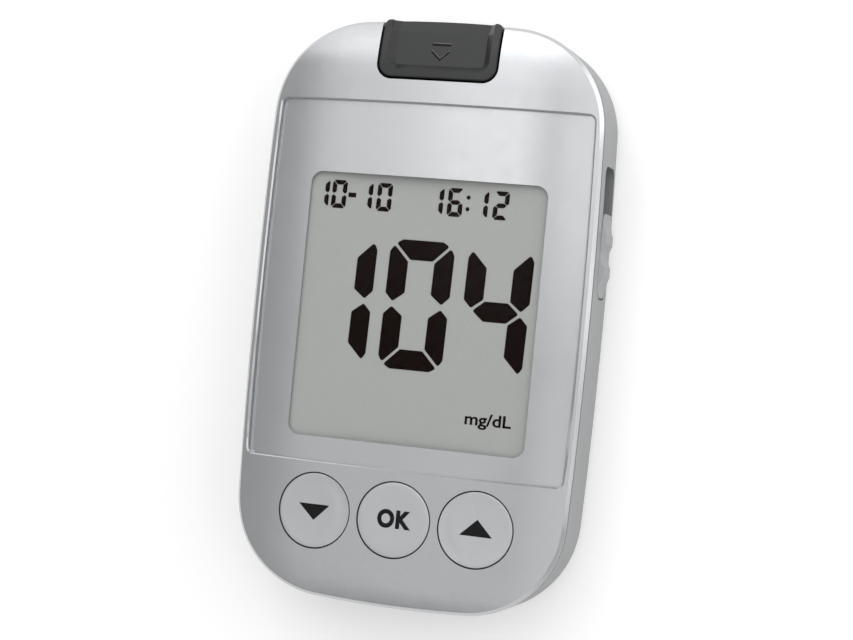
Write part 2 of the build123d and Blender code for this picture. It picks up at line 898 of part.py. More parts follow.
# ---------------------------------------------------------------- strip port
trough_foot = bezel_y + trough_rim
trough_fall = face_height(0, trough_foot) - face_height(0, trough_dip_y)
trough_tilt = atan2(trough_fall, trough_dip_y - trough_foot)
trough_plane = Plane(
    origin=(0, trough_foot, face_height(0, trough_foot) + bezel_proud),
    x_dir=(1, 0, 0),
    z_dir=(0, sin(trough_tilt), cos(trough_tilt)),
)
trough_width = bezel_width - 2 * trough_rim

with BuildPart() as port_bezel:
    with BuildPart(mode=Mode.PRIVATE) as bezel_block:
        add(plate(bezel_outline(), bezel_bottom, cut_top))
        add(plate(body_outline(-bezel_overhang), bezel_bottom, cut_top), mode=Mode.INTERSECT)
        add(under_face(-bezel_proud), mode=Mode.INTERSECT)
        fillet(bezel_block.edges().filter_by(Axis.Z).group_by(Axis.Y)[-1], horn_round)
        fillet(border(bezel_block.faces().filter_by(lambda f: f.normal_at().Z > 0.5)), bezel_edge_round)
    add(bezel_block.part)
    # Inside the housing only a top plate, two cheeks and the end wall are left.
    inner_y = (bezel_y - cut_overrun, bezel_wall_y)
    add(
        block(
            (-bezel_width / 2 + bezel_cheek, bezel_width / 2 - bezel_cheek),
            inner_y,
            (bezel_bottom - cut_overrun, connector_top + connector_clearance),
        ),
        mode=Mode.SUBTRACT,
    )
    add(
        block(
            (-bezel_width / 2 - cut_overrun, bezel_width / 2 + cut_overrun),
            inner_y,
            (bezel_bottom - cut_overrun, board_top + board_part_gap),
        ),
        mode=Mode.SUBTRACT,
    )
    # Sloped trough in the top that guides the strip towards the slot.
    with BuildSketch(trough_plane) as trough:
        with Locations((0, end_roll_length / 2)):
            Rectangle(trough_width, end_roll_length)
        fillet(trough.vertices().group_by(Axis.Y)[0], trough_corner_radius)
    extrude(trough.sketch, amount=cut_overrun, mode=Mode.SUBTRACT)
    extrude(amount=-trough_depth, taper=trough_slope, mode=Mode.SUBTRACT)
    # The plate dips steeply at its outer end, between the two horns of the rim.
    rim_level = face_height(0, trough_dip_y) + bezel_proud
    plate_level = rim_level - trough_depth
    plate_x = trough_width / 2 - trough_depth * tan(radians(trough_slope))
    dip_direction = Vector(0, cos(radians(trough_dip_angle)), -sin(radians(trough_dip_angle)))
    dip_length = (bezel_end + cut_overrun - trough_dip_y) / dip_direction.Y
    dip_top = cut_top + dip_length
    with BuildSketch(Plane.XZ.offset(-trough_dip_y)):
        with BuildLine():
            Polyline(
                (-trough_width / 2, dip_top),
                (-trough_width / 2, rim_level),
                (-plate_x, plate_level),
                (plate_x, plate_level),
                (trough_width / 2, rim_level),
                (trough_width / 2, dip_top),
                close=True,
            )
        make_face()
    extrude(amount=dip_length, dir=dip_direction, mode=Mode.SUBTRACT)
    # Strip slot with a flared mouth.
    with BuildSketch(Plane.XZ.offset(cut_overrun - bezel_wall_y)):
        with Locations((0, strip_level)):
            Rectangle(strip_width, strip_height)
    extrude(amount=-(bezel_end_wall + 2 * cut_overrun), mode=Mode.SUBTRACT)
    with BuildSketch(Plane.XZ.offset(-bezel_end)):
        with Locations((0, strip_level)):
            Rectangle(strip_width + 2 * mouth_flare, strip_height + 2 * mouth_flare)
    with BuildSketch(Plane.XZ.offset(mouth_depth - bezel_end)):
        with Locations((0, strip_level)):
            Rectangle(strip_width, strip_height)
    loft(mode=Mode.SUBTRACT)
finish(port_bezel, "port_bezel")

with BuildPart() as strip_connector:
    add(
        block(
            (-connector_width / 2, connector_width / 2),
            (connector_start, connector_end),
            (board_top, connector_top),
            connector_corner_radius,
        )
    )
    through_y = (connector_start - cut_overrun, connector_end + cut_overrun)
    add(
        block(
            (-strip_width / 2, strip_width / 2),
            through_y,
            (strip_level - strip_height / 2, strip_level + strip_height / 2),
        ),
        mode=Mode.SUBTRACT,
    )
    add(
        block(
            (-channel_width / 2, channel_width / 2),
            through_y,
            (strip_level - channel_height / 2, strip_level + channel_height / 2),
        ),
        mode=Mode.SUBTRACT,
    )
    contact_xs = [
        side * (contact_first_x + contact_pitch * i) for side in (-1, 1) for i in range(contacts_per_side)
    ]
    groove_top = strip_level + strip_height / 2 + contact_thickness + 2 * contact_play
    for x in contact_xs:
        half = contact_width / 2 + contact_play
        add(
            block((x - half, x + half), through_y, (strip_level, groove_top)),
            mode=Mode.SUBTRACT,
        )
finish(strip_connector, "strip_connector")

with BuildPart() as strip_contacts:
    leaf_top = groove_top - contact_play
    tail_y = connector_start - contact_play
    for x in contact_xs:
        half = contact_width / 2
        add(
            block(
                (x - half, x + half),
                (tail_y - contact_thickness, tail_y),
                (board_top, leaf_top),
            )
        )
        add(
            block(
                (x - half, x + half),
                (tail_y - contact_thickness, connector_end - contact_tip_setback),
                (leaf_top - contact_thickness, leaf_top),
            )
        )
finish(strip_contacts, "strip_contacts")

# ---------------------------------------------------------------- strip ejector
with BuildPart() as ejector_knob:
    knob_middle = (knob_start + knob_end) / 2
    knob_face = half_width + knob_proud
    with BuildSketch(Plane.YZ.offset(carriage_outer_x)):
        add(slot_outline(knob_start, knob_end, knob_gap))
    extrude(amount=knob_face - carriage_outer_x)
    outer_face = ejector_knob.faces().sort_by(Axis.X)[-1]
    chamfer(outer_face.edges(), knob_bevel)
    # Three hollows for the fingertip leave two ridges standing.
    valley = ridge_pitch - ridge_width
    valley_radius = ((valley / 2) ** 2 + scallop_depth**2) / (2 * scallop_depth)
    end_reach = sqrt(2 * end_scallop_radius * scallop_depth - scallop_depth**2)
    end_y = (ridge_pitch + ridge_width) / 2 + end_reach
    scallops = [(0.0, valley_radius), (-end_y, end_scallop_radius), (end_y, end_scallop_radius)]
    for y, radius in scallops:
        centre = (knob_face + radius - scallop_depth, knob_middle + y)
        add(
            round_post([centre], radius, slot_bottom - cut_overrun, slot_top + cut_overrun),
            mode=Mode.SUBTRACT,
        )
finish(ejector_knob, "ejector_knob")

with BuildPart() as ejector_carriage:
    carriage_x = (carriage_inner_x, carriage_outer_x)
    arm_bottom = arm_level - arm_thickness / 2
    arm_top = arm_level + arm_thickness / 2
    add(
        block(
            carriage_x, (carriage_start, carriage_end), (slot_bottom - carriage_lap, slot_top + carriage_lap)
        )
    )
    # The arm runs forward above the board, then across behind the display.
    side_arm_x = (frame_x + board_part_gap, arm_side_x)
    add(
        block(
            (side_arm_x[0], carriage_outer_x),
            (carriage_end - 2 * arm_width, carriage_end),
            (arm_bottom, arm_top),
        )
    )
    add(block(side_arm_x, (carriage_end - 2 * arm_width, arm_y + arm_width), (arm_bottom, arm_top)))
    add(block((-tongue_width / 2, arm_side_x), (arm_y, arm_y + arm_width), (arm_bottom, arm_top)))
    # Tongue that pushes the strip out.
    add(
        block(
            (-tongue_width / 2, tongue_width / 2),
            (arm_y, tongue_end),
            (arm_level - tongue_thickness / 2, arm_level + tongue_thickness / 2),
        )
    )
    # Thin shutter that closes the free end of the slot from inside.
    add(
        block(
            (carriage_inner_x, carriage_inner_x + shutter_thickness),
            (carriage_end, shutter_end),
            (slot_bottom - carriage_lap + shutter_inset, slot_top + carriage_lap - shutter_inset),
        )
    )
    # Lug that the spring pushes on, with the pin that keeps the spring in line.
    add(
        block(
            (carriage_inner_x - lug_width, carriage_inner_x),
            (lug_end - lug_thickness, lug_end),
            (spring_level - lug_height / 2, spring_level + lug_height / 2),
        )
    )
    with BuildSketch(Plane.XZ.offset(-lug_end)):
        with Locations((spring_x, spring_level)):
            Circle(spring_pin_radius)
    extrude(amount=-spring_pin_length)
finish(ejector_carriage, "ejector_carriage")

with BuildPart() as ejector_spring:
    seat = spring_wire / 2 + spring_seat_gap
    coil_length = spring_space - 2 * seat
    coil_axis = Vector(0, 1, 0)
    coil_start = Vector(spring_x, lug_end + seat, spring_level)
    coil_radius = spring_radius - spring_wire / 2
    with BuildLine():
        coil = Helix(
            coil_length / spring_turns,
            coil_length,
            coil_radius,
            center=coil_start,
            direction=coil_axis,
        )
    with BuildSketch(Plane(origin=coil @ 0, z_dir=coil % 0)):
        RegularPolygon(spring_wire / 2, 6)
    sweep(path=coil, is_frenet=True)
finish(ejector_spring, "ejector_spring")

# ---------------------------------------------------------------- board and what it carries
with BuildPart() as main_board:
    add(plate(body_outline(wall + board_gap), board_bottom, board_top))
    board_end = half_length - wall - board_end_gap
    through_board = (board_bottom - cut_overrun, board_top + cut_overrun)
    add(
        block((-half_width, half_width), (board_end, half_length), through_board),
        mode=Mode.SUBTRACT,
    )
    add(
        block(
            (carriage_inner_x - board_notch_gap, half_width),
            (carriage_start - board_notch_gap, shutter_end + ejector_travel + board_notch_gap),
            through_board,
        ),
        mode=Mode.SUBTRACT,
    )
    add(
        round_post(case_screw_places, boss_radius + board_part_gap, *through_board),
        mode=Mode.SUBTRACT,
    )
    add(
        round_post(post_places, board_screw_radius + screw_fit, *through_board),
        mode=Mode.SUBTRACT,
    )
finish(main_board, "main_board")

with BuildPart() as controller_chip:
    half = chip_size / 2
    x, y = chip_place
    add(block((x - half, x + half), (y - half, y + half), (board_top, board_top + chip_thickness)))
finish(controller_chip, "controller_chip")

passive_reach = ((passive_rows - 1) * passive_pitch + passive_size[1]) / 2
passive_y = strip_y[1] - frame_ledge - passive_edge_gap - passive_reach
with BuildPart() as board_components:
    with Locations(Plane.XY.offset(board_top)):
        with Locations((passive_x, passive_y)):
            with GridLocations(passive_pitch, passive_pitch, passive_columns, passive_rows):
                Box(*passive_size, align=(Align.CENTER, Align.CENTER, Align.MIN))
finish(board_components, "board_components")

with BuildPart() as buzzer:
    add(round_post([buzzer_place], buzzer_radius, board_bottom - buzzer_height, board_bottom))
finish(buzzer, "buzzer")

with BuildPart() as board_screws:
    add(
        round_post(post_places, board_screw_head_radius, board_top, board_top + board_screw_head_height)
    )
    add(round_post(post_places, board_screw_radius, board_top - board_screw_length, board_top))
finish(board_screws, "board_screws")

with BuildPart() as case_screws:
    head_top = screw_head_depth
    add(
        round_post(
            case_screw_places, screw_head_radius, head_top - screw_head_height, head_top
        )
    )
    add(round_post(case_screw_places, screw_radius, head_top, screw_tip))
    add(
        round_post(
            case_screw_places,
            screw_drive_radius,
            head_top - screw_head_height,
            head_top - screw_head_height + screw_drive_depth,
        ),
        mode=Mode.SUBTRACT,
    )
finish(case_screws, "case_screws")

# ---------------------------------------------------------------- batteries
for side, place in zip(("left", "right"), coin_places):
    with BuildPart() as coin_cell:
        add(round_post([place], cell_radius, coin_bottom, coin_top))
        fillet(coin_cell.edges().filter_by(GeomType.CIRCLE), coin_edge_round)
    finish(coin_cell, "coin_cell_" + side)

with BuildPart() as battery_leaf:
    leaf_bottom = well_top - leaf_thickness
    add(
        block(
            (-coin_pitch / 2 - leaf_overlap, coin_pitch / 2 + leaf_overlap),
            (coin_y - leaf_width / 2, coin_y + leaf_width / 2),
            (leaf_bottom, well_top),
        )
    )
    for x, y in coin_places:
        add(round_post([(x, y)], leaf_dimple, coin_top, leaf_bottom))
finish(battery_leaf, "battery_leaf")

with BuildPart() as battery_door:
    plate_bottom = door_recess
    plate_top = door_recess + door_thickness
    add(plate(door_outline(), plate_bottom, plate_top))
    # The hinged edge is round about the line that the door turns on.
    add(
        block(
            (-door_width / 2 - cut_overrun, door_width / 2 + cut_overrun),
            (hinge_y, door_top_y + cut_overrun),
            (plate_bottom - cut_overrun, plate_top + cut_overrun),
        ),
        mode=Mode.SUBTRACT,
    )
    with BuildSketch(Plane.YZ):
        with Locations((hinge_y, hinge_height)):
            Circle(door_thickness / 2)
    extrude(amount=door_width / 2, both=True)
    # Two hooks reach inside the back wall.
    for x in tab_places:
        add(
            block(
                (x - tab_width / 2, x + tab_width / 2),
                (hinge_y - tab_length / 2 + door_gap, hinge_y),
                (plate_bottom + door_thickness / 2, tab_top),
            )
        )
        add(
            block(
                (x - tab_width / 2, x + tab_width / 2),
                (hinge_y - tab_length / 2 + door_gap, hinge_y + tab_length),
                (tab_top - tab_thickness, tab_top),
            )
        )
    # Pads that hold the coin cells up against their contacts.
    for x, y in coin_places:
        add(
            block(
                (x - pad_width / 2, x + pad_width / 2),
                (y - pad_length / 2, y + pad_length / 2),
                (plate_top, plate_top + pad_height),
                pad_corner_radius,
            )
        )
    # Springy latch with a bead at its foot.
    add(
        block(
            (-latch_width / 2, latch_width / 2),
            (latch_y, latch_y + latch_thickness),
            (plate_top - latch_root, plate_top + latch_height),
        )
    )
    with BuildSketch(Plane.YZ):
        with Locations((latch_y, plate_top + latch_height - 2 * latch_bead_radius)):
            Circle(latch_bead_radius)
    extrude(amount=latch_width / 2, both=True)
finish(battery_door, "battery_door")
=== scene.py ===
import math

import bmesh
import bpy
from mathutils import Matrix, Vector
from mathutils.bvhtree import BVHTree


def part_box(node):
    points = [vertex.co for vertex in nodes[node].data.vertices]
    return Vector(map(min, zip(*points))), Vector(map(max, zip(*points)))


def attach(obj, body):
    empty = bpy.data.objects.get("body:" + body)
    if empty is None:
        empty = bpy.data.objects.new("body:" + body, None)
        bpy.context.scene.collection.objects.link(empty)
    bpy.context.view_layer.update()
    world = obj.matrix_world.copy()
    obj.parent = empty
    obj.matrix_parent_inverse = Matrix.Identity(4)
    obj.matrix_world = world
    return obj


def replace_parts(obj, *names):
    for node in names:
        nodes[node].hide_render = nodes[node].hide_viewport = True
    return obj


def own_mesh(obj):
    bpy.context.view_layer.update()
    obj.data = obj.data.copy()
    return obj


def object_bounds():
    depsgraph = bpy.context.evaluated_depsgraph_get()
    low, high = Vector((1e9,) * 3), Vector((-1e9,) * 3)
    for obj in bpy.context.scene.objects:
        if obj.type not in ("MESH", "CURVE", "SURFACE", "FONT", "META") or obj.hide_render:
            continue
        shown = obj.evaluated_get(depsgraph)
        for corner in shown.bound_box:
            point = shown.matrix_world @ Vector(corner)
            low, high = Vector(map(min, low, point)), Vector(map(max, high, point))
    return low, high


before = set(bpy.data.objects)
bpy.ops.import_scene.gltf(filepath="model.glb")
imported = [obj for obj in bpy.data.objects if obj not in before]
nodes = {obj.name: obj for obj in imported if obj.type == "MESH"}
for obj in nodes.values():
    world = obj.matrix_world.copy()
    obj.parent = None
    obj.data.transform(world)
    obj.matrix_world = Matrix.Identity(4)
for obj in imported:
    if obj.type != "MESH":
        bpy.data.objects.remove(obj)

# Looks of the blood glucose meter. Metres, in the frame of the CAD: X across the face,
# Y towards the strip port, Z out of the face. Sizes below are in millimetres times MM.
MM = 0.001

cad_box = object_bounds()
scene = bpy.context.scene


# ---------------------------------------------------------------- material helpers
# The span of a noise value that its colours and its gloss are spread over.
NOISE_SPAN = (0.3, 0.7)
# Uneven gloss: waves per millimetre, and how far the roughness strays to either side.
GLOSS_WAVES, GLOSS_SPREAD = 0.4, 0.02


def shader_tree(name):
    """A new node material with its Principled shader, and its tree."""
    material = bpy.data.materials.new(name)
    material.use_nodes = True
    tree = material.node_tree
    return material, tree, tree.nodes["Principled BSDF"]


def node_of(tree, kind, **inputs):
    """Adds a node and sets its inputs by name."""
    node = tree.nodes.new(kind)
    for key, value in inputs.items():
        node.inputs[key].default_value = value
    return node


def noise(tree, scale, detail=2.0):
    """Noise over the object's own coordinates. Scale is in waves per millimetre."""
    place = tree.nodes.new("ShaderNodeTexCoord")
    mapping = tree.nodes.new("ShaderNodeMapping")
    mapping.inputs["Scale"].default_value = [scale / MM] * 3
    texture = node_of(tree, "ShaderNodeTexNoise", Scale=1.0, Detail=detail)
    tree.links.new(place.outputs["Object"], mapping.inputs["Vector"])
    tree.links.new(mapping.outputs["Vector"], texture.inputs["Vector"])
    return texture.outputs["Fac"]


def map_range(tree, value, low, high):
    """Spreads a noise value over a range."""
    node = node_of(tree, "ShaderNodeMapRange")
    node.inputs["From Min"].default_value = NOISE_SPAN[0]
    node.inputs["From Max"].default_value = NOISE_SPAN[1]
    node.inputs["To Min"].default_value = low
    node.inputs["To Max"].default_value = high
    tree.links.new(value, node.inputs["Value"])
    return node.outputs["Result"]


def tinted(tree, value, dark, light):
    """Colour between two shades, by a noise value."""
    ramp = tree.nodes.new("ShaderNodeValToRGB")
    for stop, place, colour in zip(ramp.color_ramp.elements, NOISE_SPAN, (dark, light)):
        stop.position = place
        stop.color = (*colour, 1)
    tree.links.new(value, ramp.inputs["Fac"])
    return ramp.outputs["Color"]


def bump(tree, shader, height, depth):
    """Adds a bump of a given depth in millimetres."""
    node = node_of(tree, "ShaderNodeBump", Strength=1.0, Distance=depth * MM)
    tree.links.new(height, node.inputs["Height"])
    tree.links.new(node.outputs["Normal"], shader.inputs["Normal"])


def surface(name, dark, light, roughness, metallic=0.0, grain=4.0, depth=0.01, gleam=0.5):
    """Moulded, painted or metal surface with fine grain and slightly uneven gloss.

    The grain is in waves per millimetre, its depth in millimetres, and the gleam is the
    strength of the reflection of what isn't metal.
    """
    material, tree, shader = shader_tree(name)
    shader.inputs["Metallic"].default_value = metallic
    shader.inputs["Specular IOR Level"].default_value = gleam
    fine = noise(tree, grain, 3.0)
    tree.links.new(tinted(tree, fine, dark, light), shader.inputs["Base Color"])
    waves = noise(tree, GLOSS_WAVES, 4.0)
    gloss = map_range(tree, waves, roughness - GLOSS_SPREAD, roughness + GLOSS_SPREAD)
    tree.links.new(gloss, shader.inputs["Roughness"])
    bump(tree, shader, fine, depth)
    return material


def dress(material, *names):
    """Gives CAD nodes a material."""
    for name in names:
        nodes[name].data.materials.clear()
        nodes[name].data.materials.append(material)


def new_piece(name, bm, material, body):
    """Turns a bmesh into a piece of the scene that rides on a body."""
    mesh = bpy.data.meshes.new(name)
    bm.normal_update()
    bm.to_mesh(mesh)
    bm.free()
    piece = bpy.data.objects.new(name, mesh)
    scene.collection.objects.link(piece)
    mesh.materials.append(material)
    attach(piece, body)
    return piece


# ---------------------------------------------------------------- materials
silver = surface(
    "silver_paint", (0.503, 0.513, 0.528), (0.563, 0.572, 0.587),
    roughness=0.24, metallic=0.85, grain=7.0, depth=0.002,
)
silver_key = surface(
    "silver_key", (0.496, 0.507, 0.52), (0.549, 0.56, 0.572),
    roughness=0.42, metallic=0.5, grain=7.0, depth=0.002,
)
back_print = surface(
    "silver_back_print", (0.533, 0.543, 0.553), (0.563, 0.573, 0.583),
    roughness=0.22, metallic=0.85, grain=9.0, depth=0.001,
)
side_grey = surface(
    "side_grey", (0.278, 0.284, 0.288), (0.305, 0.311, 0.315),
    roughness=0.45, metallic=0.2, grain=5.0, depth=0.006,
)
knob_grey = surface(
    "knob_grey", (0.295, 0.3, 0.305), (0.324, 0.329, 0.333),
    roughness=0.45, metallic=0.2, grain=5.0, depth=0.006,
)
charcoal = surface(
    "charcoal_plastic", (0.015, 0.016, 0.0165), (0.019, 0.02, 0.0205),
    roughness=0.3, metallic=0.0, grain=5.0, depth=0.0015, gleam=0.45,
)
display = surface(
    "display_glass", (0.393, 0.403, 0.393), (0.413, 0.423, 0.413),
    roughness=0.4, metallic=0.0, grain=3.0, depth=0.0003, gleam=0.1,
)
foil = surface(
    "reflector_foil", (0.70, 0.71, 0.70), (0.78, 0.79, 0.78),
    roughness=0.3, metallic=1.0, grain=2.0, depth=0.004,
)
inner = surface(
    "inner_plastic", (0.72, 0.72, 0.70), (0.78, 0.78, 0.76),
    roughness=0.5, metallic=0.0, grain=3.0, depth=0.01,
)
elastomer = surface(
    "elastomer", (0.70, 0.62, 0.52), (0.78, 0.70, 0.60),
    roughness=0.7, metallic=0.0, grain=3.0, depth=0.01,
)
board = surface(
    "board_mask", (0.02, 0.14, 0.06), (0.03, 0.20, 0.09),
    roughness=0.35, metallic=0.0, grain=1.5, depth=0.01,
)
resin = surface(
    "chip_resin", (0.015, 0.015, 0.016), (0.03, 0.03, 0.032),
    roughness=0.55, metallic=0.0, grain=6.0, depth=0.01,
)
tin = surface(
    "tinned_metal", (0.55, 0.55, 0.56), (0.70, 0.70, 0.70),
    roughness=0.35, metallic=1.0, grain=3.0, depth=0.006,
)
zinc = surface(
    "screw_steel", (0.45, 0.45, 0.46), (0.60, 0.60, 0.61),
    roughness=0.32, metallic=1.0, grain=4.0, depth=0.006,
)
brass = surface(
    "contact_brass", (0.72, 0.52, 0.20), (0.85, 0.66, 0.32),
    roughness=0.28, metallic=1.0, grain=3.0, depth=0.004,
)
wire = surface(
    "spring_wire", (0.45, 0.45, 0.47), (0.60, 0.60, 0.62),
    roughness=0.3, metallic=1.0, grain=6.0, depth=0.004,
)
nickel = surface(
    "cell_nickel", (0.60, 0.60, 0.60), (0.74, 0.74, 0.73),
    roughness=0.28, metallic=1.0, grain=0.8, depth=0.004,
)
segment_ink = surface(
    "segment_black", (0.006, 0.003, 0.003), (0.009, 0.005, 0.004),
    roughness=0.7, metallic=0.0, grain=4.0, depth=0.001, gleam=0.0,
)
key_ink = surface(
    "key_print", (0.006, 0.006, 0.007), (0.010, 0.010, 0.011),
    roughness=0.6, metallic=0.0, grain=6.0, depth=0.002, gleam=0.15,
)
# Painted shade: the port's arrow is engraved in the cap's own plastic, and this near-black
# stands in for the shade inside its groove.
groove_painted_shade = surface(
    "groove_painted_shade", (0.004, 0.004, 0.004), (0.008, 0.008, 0.008),
    roughness=0.6, metallic=0.0, grain=6.0, depth=0.002, gleam=0.2,
)
# Painted highlight: a lighter grey that stands in for light on the upper edge of the arrow's
# engraved groove.
groove_painted_highlight = surface(
    "groove_painted_highlight", (0.13, 0.13, 0.13), (0.17, 0.17, 0.17),
    roughness=0.4, metallic=0.0, grain=6.0, depth=0.002,
)


def clear_acrylic():
    """Polished clear plastic, with nothing in the way of the light on what it covers."""
    material, tree, shader = shader_tree("clear_acrylic")
    shader.inputs["Base Color"].default_value = (1, 1, 1, 1)
    shader.inputs["Transmission Weight"].default_value = 1.0
    shader.inputs["IOR"].default_value = 1.06
    shader.inputs["Coat Weight"].default_value = 1.0
    shader.inputs["Coat IOR"].default_value = 1.14
    polish = noise(tree, 3.0, 2.0)
    tree.links.new(map_range(tree, polish, 0.0, 0.02), shader.inputs["Roughness"])
    tree.links.new(map_range(tree, polish, 0.12, 0.16), shader.inputs["Coat Roughness"])
    through = tree.nodes.new("ShaderNodeBsdfTransparent")
    path = tree.nodes.new("ShaderNodeLightPath")
    shown = shader.outputs["BSDF"]
    for ray in ("Is Shadow Ray", "Is Diffuse Ray", "Is Glossy Ray"):
        mix = tree.nodes.new("ShaderNodeMixShader")
        tree.links.new(path.outputs[ray], mix.inputs["Fac"])
        tree.links.new(shown, mix.inputs[1])
        tree.links.new(through.outputs["BSDF"], mix.inputs[2])
        shown = mix.outputs["Shader"]
    tree.links.new(shown, tree.nodes["Material Output"].inputs["Surface"])
    return material


dress(silver, "front_shell")
dress(silver_key, "button_down", "button_ok", "button_up")
dress(side_grey, "rear_shell", "battery_door")
dress(knob_grey, "ejector_knob")
dress(clear_acrylic(), "window_lens")
dress(back_print, "window_mask")
dress(display, "lcd_cell")
dress(foil, "lcd_reflector")
dress(inner, "lcd_frame", "switch_plunger_down", "switch_plunger_ok", "switch_plunger_up")
dress(elastomer, "lcd_connector_strips")
dress(charcoal, "port_bezel")
dress(resin, "strip_connector", "ejector_carriage", "controller_chip", "buzzer")
dress(board, "main_board")
dress(tin, "switch_bases", "board_components")
dress(zinc, "board_screws", "case_screws")
dress(brass, "strip_contacts", "battery_leaf")
dress(wire, "ejector_spring")
dress(nickel, "coin_cell_left", "coin_cell_right")


# ---------------------------------------------------------------- flat marks
GRID = 0.8  # width of the cells that flat faces are cut into before they follow a curve
MARK_HEIGHT = 0.03


def cut_along_grid(bm, cell=GRID):
    """Cuts flat faces along a square grid, so that they can follow a curved surface."""
    for axis in (0, 1):
        values = [v.co[axis] for v in bm.verts]
        for i in range(1, int((max(values) - min(values)) / (cell * MM)) + 1):
            point, normal = [0, 0, 0], [0, 0, 0]
            point[axis] = min(values) + i * cell * MM
            normal[axis] = 1
            whole = bm.verts[:] + bm.edges[:] + bm.faces[:]
            bmesh.ops.bisect_plane(bm, geom=whole, plane_co=point, plane_no=normal)


def outlines_mesh(outlines):
    """Flat faces from outlines in millimetres."""
    bm = bmesh.new()
    for outline in outlines:
        bm.faces.new([bm.verts.new((x * MM, y * MM, 0)) for x, y in outline])
    return bm


def letters_mesh(text, left, right, bottom, top, weight, spacing=1.0):
    """Flat letters in Blender's own font, fitted into a box in millimetres.

    The weight fattens the strokes and the spacing spreads the letters, both in the font's
    own units.
    """
    curve = bpy.data.curves.new(text, "FONT")
    curve.body = text
    curve.offset = weight
    curve.space_character = spacing
    holder = bpy.data.objects.new(text, curve)
    scene.collection.objects.link(holder)
    bpy.context.view_layer.update()
    bm = bmesh.new()
    bm.from_mesh(holder.to_mesh())
    holder.to_mesh_clear()
    bpy.data.objects.remove(holder)
    bmesh.ops.remove_doubles(bm, verts=bm.verts[:], dist=1e-5)
    for axis, low, high in ((0, left, right), (1, bottom, top)):
        values = [v.co[axis] for v in bm.verts]
        scale = (high - low) * MM / (max(values) - min(values))
        start = min(values)
        for vert in bm.verts:
            vert.co[axis] = low * MM + (vert.co[axis] - start) * scale
    return bm


def thicken(bm, height):
    """Raises flat faces to a plate of a given height in millimetres."""
    grown = bmesh.ops.extrude_face_region(bm, geom=bm.faces[:])
    raised = [item for item in grown["geom"] if isinstance(item, bmesh.types.BMVert)]
    bmesh.ops.translate(bm, verts=raised, vec=(0, 0, height * MM))
    bmesh.ops.recalc_face_normals(bm, faces=bm.faces[:])


def drape(bm, target):
    """Drops every point straight down onto an object, keeping its own height above it."""
    bpy.context.view_layer.update()
    tree = BVHTree.FromObject(target, bpy.context.evaluated_depsgraph_get())
    above = cad_box[1][2] + MM
    for vert in bm.verts:
        hit = tree.ray_cast(Vector((vert.co.x, vert.co.y, above)), Vector((0, 0, -1)))
        vert.co.z += hit[0].z


def rounded(points, radius, steps=4, share=0.45):
    """Outline with its corners cut round, each over no more than a share of its edges."""
    outline = []
    for i, point in enumerate(points):
        here = Vector(point)
        before = Vector(points[i - 1]) - here
        after = Vector(points[(i + 1) % len(points)]) - here
        reach = radius / math.tan(before.angle(after) / 2)
        reach = min(reach, before.length * share, after.length * share)
        start = here + before.normalized() * reach
        stop = here + after.normalized() * reach
        for k in range(steps + 1):
            t = k / steps
            bend = start * (1 - t) ** 2 + here * 2 * t * (1 - t) + stop * t**2
            outline.append(tuple(bend))
    return outline


def stroke(points, width, sharpest=0.3):
    """Outline of a line of even width through a few points, with mitred corners."""
    sides = ([], [])
    for i, point in enumerate(points):
        here = Vector(point)
        ahead = (Vector(points[i + 1]) - here).normalized() if i + 1 < len(points) else None
        behind = (here - Vector(points[i - 1])).normalized() if i > 0 else None
        one, other = ahead or behind, behind or ahead
        along = (one + other).normalized()
        across = Vector((-along.y, along.x))
        reach = width / 2 / max(sharpest, across.dot(Vector((-one.y, one.x))))
        sides[0].append(tuple(here + across * reach))
        sides[1].append(tuple(here - across * reach))
    return sides[0] + sides[1][::-1]


# ---------------------------------------------------------------- window panel
# The crown of the face across X, nearly flat in the middle and rounder towards the sides,
# and the roll of its ends.
CROWN_FLAT, CROWN_RADIUS, SHOULDER_RADIUS = 14.0, 400.0, 100.0
ROLL_START, ROLL_RADIUS = 37.0, 30.0


def crown_drop(x):
    """How far the middle of the face lies below its crest at a distance from the middle."""
    out = abs(x)
    if out <= CROWN_FLAT:
        return CROWN_RADIUS - math.sqrt(CROWN_RADIUS**2 - out**2)
    turned = math.asin(CROWN_FLAT / CROWN_RADIUS)
    middle = CROWN_FLAT - SHOULDER_RADIUS * math.sin(turned)
    crest = CROWN_RADIUS * (1 - math.cos(turned)) + SHOULDER_RADIUS * math.cos(turned)
    return crest - math.sqrt(SHOULDER_RADIUS**2 - (out - middle) ** 2)


def face_drop(point):
    """How far the face lies below its crest, at a point in metres."""
    rolled = max(0.0, abs(point.y) / MM - ROLL_START)
    swing = ROLL_RADIUS - crown_drop(point.x / MM)
    return (ROLL_RADIUS - math.sqrt(swing**2 - rolled**2)) * MM


WELD = 1e-6  # metres
FLAT_ANGLE = 0.2  # degrees


def copy_of(node):
    """A copy of the CAD's mesh, in the frame of the scene."""
    bm = bmesh.new()
    bm.from_mesh(nodes[node].data)
    bm.transform(nodes[node].matrix_world)
    bmesh.ops.remove_doubles(bm, verts=bm.verts[:], dist=WELD)
    return bm


def shade_round(bm, crease=30):
    """Smooth shading, but for edges that turn more than the crease angle in degrees."""
    bm.normal_update()
    for face in bm.faces:
        face.smooth = True
    sharp = math.radians(crease)
    for edge in bm.edges:
        edge.smooth = len(edge.link_faces) == 2 and edge.calc_face_angle() < sharp


def even_plate(name, node, material):
    """The CAD's crowned plate on an even grid, so that its face mirrors the lamps smoothly.

    The plate is laid flat, rid of its own triangles, cut along the grid and bent back.
    """
    bm = copy_of(node)
    for vert in bm.verts:
        vert.co.z += crown_drop(vert.co.x / MM) * MM
    flat = math.radians(FLAT_ANGLE)
    bmesh.ops.dissolve_limit(bm, angle_limit=flat, verts=bm.verts[:], edges=bm.edges[:])
    cut_along_grid(bm)
    for vert in bm.verts:
        vert.co.z -= crown_drop(vert.co.x / MM) * MM
    shade_round(bm)
    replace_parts(new_piece(name, bm, material, "root"), node)


even_plate("panel_print", "window_mask", back_print)


